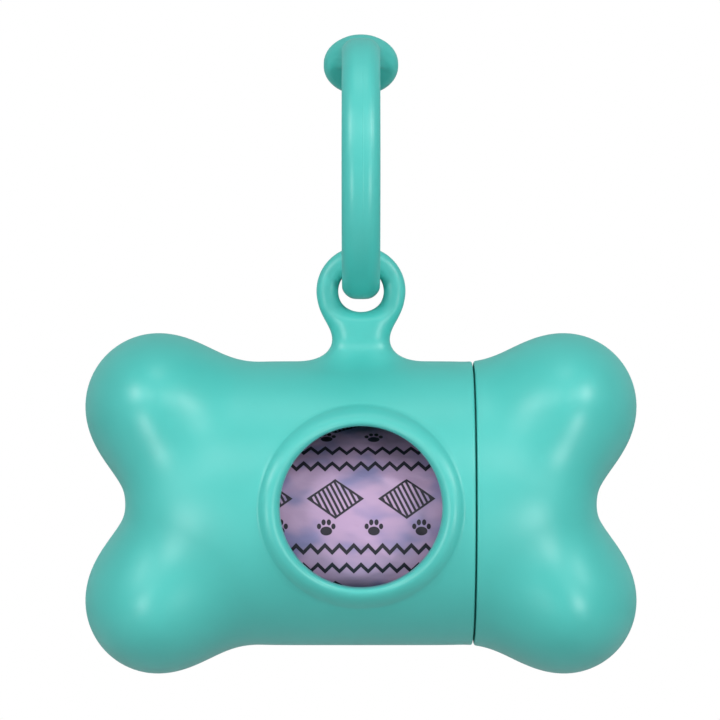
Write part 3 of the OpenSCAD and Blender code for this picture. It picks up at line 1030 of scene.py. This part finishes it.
# The strap as one skin: its rows, the knob in place of a block of the tail, and a sleeve from its last row to
# a block of the eyelet disc. The disc and the sleeve are then drawn onto their joined surface and evened out.
def makeStrap():
    work = Patchwork()
    band, firstKnob = strapRows()
    band = np.roll(band, strap["knobColumns"], axis=1)
    knobBlock = ((firstKnob, firstKnob + 2 * strap["knobRows"]), (0, 2 * strap["knobColumns"]))
    work.add(band, keep=facesOutside((len(band) - 1, strap["points"]), knobBlock))
    work.add(knobPatch(band[blockEdge(*knobBlock)]))

    disc = discGrid(*strap["disc"])
    discBlock = middleBlock(strap["disc"], strap["discBlock"])
    firstDisc = work.count
    work.add(disc, keep=facesOutside(strap["disc"], discBlock))
    work.add(sleeve(band[-1], disc[blockEdge(*discBlock)], strap["sleeveRows"]))
    drawn = np.arange(work.count) >= firstDisc
    firstSleeve = firstDisc + disc[..., 0].size
    drawn[firstSleeve:firstSleeve + strap["points"]] = False

    # Where they join, the disc's underside lies inside the strap, so it is first moved out below it.
    free = np.vstack(work.points)
    q = free - loopCentre
    middle = strapShape(np.degrees(np.arctan2(q[:, 1], q[:, 2])))[0]
    below = np.clip((middle + 0.5 - np.hypot(q[:, 1], q[:, 2])) / 0.8, 0, 1)
    below = below * np.clip(-fromEyelet(free)[1] / 1.5 - 1, 0, 1)
    free[drawn] -= (strap["underDrop"] * below[:, None] * eyeletAxis)[drawn]
    free[drawn] = ontoSurface(free[drawn], eyeletField, 14)
    points, faces = work.weld(free)
    x, along, _ = fromEyelet(points)
    clearOfHole = np.hypot(x, along) - strap["holeR"] - 0.5
    freedom = drawn[work.kept] * np.clip(clearOfHole, 0, 1) * np.clip((3 - along) / 2, 0, 1)
    return relax(points, faces, freedom, eyeletField, 60), faces


addPiece("strap_loop", *makeStrap(), "strap", "soft_strap", strapMaterial, ["carry_strap"])


roll = {
    "r": 16.5,
    "half": 28.5,
    "coreR": 7.5,
    "boreR": 6.5,
    "columns": 360,
    "rows": 150,
    "layer": 0.22,          # height of the loose edge of the outermost bag
    "edgeTurn": 205.0,      # where it lies
    "crease": 0.16,
    "creaseWaves": [        # rate along the roll, waves round it, phase and weight
        (0.11, 3, 0.4, 1.0), (0.23, 5, 2.1, 0.7), (-0.31, 8, 4.0, 0.5), (0.52, 11, 1.3, 0.35),
        (-0.83, 17, 5.2, 0.2),
    ],
    "folds": [              # place along the roll, turn, lean of the line, half length, half width, height
        (-4.6, 60.0, 72.0, 2.6, 0.32, 0.16), (7.5, 66.0, 20.0, 5.5, 0.9, 0.22),
        (-8.0, 97.0, -28.0, 4.5, 0.8, 0.20), (3.0, 104.0, 35.0, 5.0, 0.7, 0.18),
        (10.0, 88.0, 60.0, 3.0, 0.5, 0.16),
    ],
    "foldHigh": 0.2,        # where folds that cross are cut off
    "endRows": 46,
    "endRound": 0.25,
    "boreRows": 12,
    "cardColumns": 120,
    "cardRound": 0.18,
    "rimInset": 0.35,       # of the first and last rows of the side from the ends, and of the end faces
    "faceInset": 0.2,
    "ripples": [(0.05, 6.1, 1, 0.0), (0.02, 13.0, 2, 1.0)],  # height, rate outwards, waves round, phase
}


# Soft ridges that run mostly along the roll: sums of waves whose phase drifts, sharpened into creases.
def creases(x, turn):
    total = np.zeros(np.broadcast(x, turn).shape)
    for k, (along, around, phase, weight) in enumerate(roll["creaseWaves"]):
        wave = np.sin(along * x + around * turn + phase + 0.9 * np.sin(0.17 * x + 2 * turn + k))
        total += weight * (1 - np.abs(wave)) ** 2
    return total / sum(weight for *_, weight in roll["creaseWaves"])


# Single folds of the outermost film: bell-shaped ridges along short straight lines on the roll's skin.
def looseFolds(x, turn):
    total = np.zeros(np.broadcast(x, turn).shape)
    for atX, atTurn, lean, halfLong, halfWide, high in roll["folds"]:
        u, v = x - atX, roll["r"] * (turn - math.radians(atTurn))
        c, s = math.cos(math.radians(lean)), math.sin(math.radians(lean))
        total += high * np.exp(-(((c * u + s * v) / halfLong) ** 4) - ((c * v - s * u) / halfWide) ** 2)
    return total


# End face of the roll from its rim in to the tube, rippled by the edges of the wound layers.
def rollEnd(end, edgeR, turn):
    share = np.linspace(0, 1, roll["endRows"])[:, None]
    outR = edgeR - roll["endRound"]
    r = outR + share * (roll["coreR"] + 0.05 - outR)
    waves = [high * np.sin(r * rate + around * turn + phase) for high, rate, around, phase in roll["ripples"]]
    return aroundX(end * (roll["half"] - roll["faceInset"] + sum(waves)), r, turn)


# The wound film: a cylinder whose radius falls by one layer in a turn, less the creases and plus the folds.
def makeFilmRoll():
    work = Patchwork()
    turn = degrees(0, 360, roll["columns"] + 1)[:-1]
    x = np.linspace(-roll["half"] + roll["rimInset"], roll["half"] - roll["rimInset"], roll["rows"])[:, None]
    share = ((turn - math.radians(roll["edgeTurn"])) / (2 * math.pi)) % 1
    spiral = roll["layer"] * np.clip(share * 1.15 - 0.075, 0, 1)
    raised = np.minimum(looseFolds(x, turn), roll["foldHigh"])
    r = roll["r"] - spiral - roll["crease"] * creases(x, turn) + raised
    side = aroundX(x, r, turn)
    boreX = np.linspace(roll["half"] - 0.4, -roll["half"] + 0.4, roll["boreRows"])
    bore = turnedRows([(at, roll["coreR"] + 0.02) for at in boreX], turn)
    rows = np.concatenate([rollEnd(-1, r[0], turn)[::-1], side, rollEnd(1, r[-1], turn), bore])
    work.add(np.concatenate([rows, rows[:1]]))
    return work.weld()


# The card tube: a profile of two radii with rounded edges, turned round its axis.
def makeCard():
    work = Patchwork()
    turn = degrees(0, 360, roll["cardColumns"] + 1)[:-1]
    h, a, b = roll["half"], roll["coreR"] - 0.02, roll["boreR"]
    profile = softCorners([(0, a), (h, a), (h, b), (-h, b), (-h, a), (0, a)], roll["cardRound"])
    work.add(turnedRows(profile, turn))
    return work.weld()


rollPlace = jointPlace["roll_spin"]
addPiece("film_roll", *makeFilmRoll(), "roll", "bag_film", filmMaterial, ["bag_roll"], rollPlace)
addPiece("card_tube", *makeCard(), "roll", "card", cardMaterial, ["roll_core"], rollPlace)


stage = {
    "floorDrop": 150.0,
    "floorSize": 3000.0,
    "floorColour": 0.86,
    "floorBounce": 0.35,
    "floorRoughness": 0.8,
    "floorSpecular": 0.2,
    "floorLift": 0.35,      # share of plain white in the floor under the object
    "clearR": (160.0, 420.0),
    "glossShare": 0.10,
    "ambient": 0.29,
    "boxes": [              # place round and above the body in degrees, distance and side in mm, watts
        ("left_box", -52, 32, 800, 210, 2.0), ("right_box", 52, 32, 800, 210, 2.2),
        ("front_left_box", -20, 36, 800, 220, 0.74), ("front_right_box", 20, 36, 800, 220, 0.80),
        ("low_left_box", -34, -9, 640, 130, 1.05), ("low_right_box", 34, -9, 640, 130, 1.05),
        ("top_box", 0, 80, 800, 260, 0.5),
        ("back_left_box", -152, 18, 800, 340, 1.7), ("back_right_box", 152, 18, 800, 340, 1.7),
    ],
    "cameraAway": 650.0,
    "cameraX": -0.16,
    "cameraZ": -48.2,
    "frameHeight": 117.8,
}


# 1 for rays that see the background: the camera's, those through glass and, more weakly, reflected ones.
def seenShare(sheet):
    path = sheet.node("ShaderNodeLightPath", {}).outputs
    gloss = sheet.math("MULTIPLY", path["Is Glossy Ray"], stage["glossShare"])
    through = sheet.math("MAXIMUM", path["Is Transmission Ray"], gloss)
    return sheet.math("MAXIMUM", path["Is Camera Ray"], through)


# Near the object the floor is a pale surface that takes its shadow, and further out it turns to plain white.
# Light that bounces back up from it is kept low, as from the darker table of a photographer's tent.
def makeFloorMaterial():
    material, sheet, shader, place = newMaterial("pale_floor")
    seen = seenShare(sheet)
    bounce, pale = stage["floorBounce"], stage["floorColour"]
    colour = sheet.mixColour(seen, (bounce, bounce, bounce), (pale, pale, pale))
    sheet.fill(shader.inputs, {
        "Base Color": colour,
        "Roughness": stage["floorRoughness"],
        "Specular IOR Level": stage["floorSpecular"],
    })
    x, y, _ = sheet.split(place)
    away = sheet.math("SQRT", sheet.math("ADD", sheet.math("POWER", x, 2.0), sheet.math("POWER", y, 2.0)))
    near, far = (r * mm for r in stage["clearR"])
    share = sheet.math("MULTIPLY", seen, sheet.ramp(away, near, far, stage["floorLift"], 1.0))
    white = sheet.node("ShaderNodeEmission", {"Color": (1, 1, 1, 1), "Strength": 1.0}).outputs[0]
    mixed = sheet.node("ShaderNodeMixShader", {0: share, 1: shader.outputs[0], 2: white}).outputs[0]
    sheet.fill(material.node_tree.nodes["Material Output"].inputs, {"Surface": mixed})
    return material


# A plain white surround that the camera sees in full and that lights the object at a low level.
def makeWorld():
    world = bpy.data.worlds.new("studio")
    bpy.context.scene.world = world
    world.use_nodes = True
    sheet = Sheet(world.node_tree)
    level = stage["ambient"]
    strength = sheet.math("ADD", level, sheet.math("MULTIPLY", seenShare(sheet), 1.0 - level))
    values = {"Strength": strength, "Color": (1, 1, 1, 1)}
    sheet.fill(world.node_tree.nodes["Background"].inputs, values)


# A square lamp that faces the body, from a place given by two angles as seen from it.
def addSoftbox(name, turn, rise, away, side, power):
    turn, rise = math.radians(turn), math.radians(rise)
    out = Vector((math.sin(turn) * math.cos(rise), -math.cos(turn) * math.cos(rise), math.sin(rise)))
    light = bpy.data.lights.new(name, "AREA")
    light.shape = "SQUARE"
    light.size = side * mm
    light.energy = power
    lamp = newObject(name, light)
    lamp.location = Vector(bonePlace) * mm + out * away * mm
    lamp.rotation_euler = (-out).to_track_quat("-Z", "Y").to_euler()
    lamp.visible_glossy = math.cos(turn) > 0    # those behind leave no glare on the outline


lowest = float(min(cadBounds[0][2], cadBounds[1][2])) / mm
floorZ = lowest - stage["floorDrop"]
half = stage["floorSize"] / 2 * mm
floorMesh = bpy.data.meshes.new("floor")
corners = [(x * half, y * half, floorZ * mm) for x, y in ((-1, -1), (1, -1), (1, 1), (-1, 1))]
floorMesh.from_pydata(corners, [], [(0, 1, 2, 3)])
floorMesh.materials.append(makeFloorMaterial())
floor = newObject("floor", floorMesh)
makeWorld()
for box in stage["boxes"]:
    addSoftbox(*box)

camera = bpy.data.cameras.new("camera")
camera.sensor_fit = "AUTO"
camera.angle = 2 * math.atan(stage["frameHeight"] / 2 / stage["cameraAway"])
eyePoint = newObject("camera", camera)
eyePoint.location = (stage["cameraX"] * mm, -stage["cameraAway"] * mm, stage["cameraZ"] * mm)
eyePoint.rotation_euler = (math.pi / 2, 0, 0)
bpy.context.scene.camera = eyePoint
bpy.context.scene.view_settings.view_transform = "Standard"
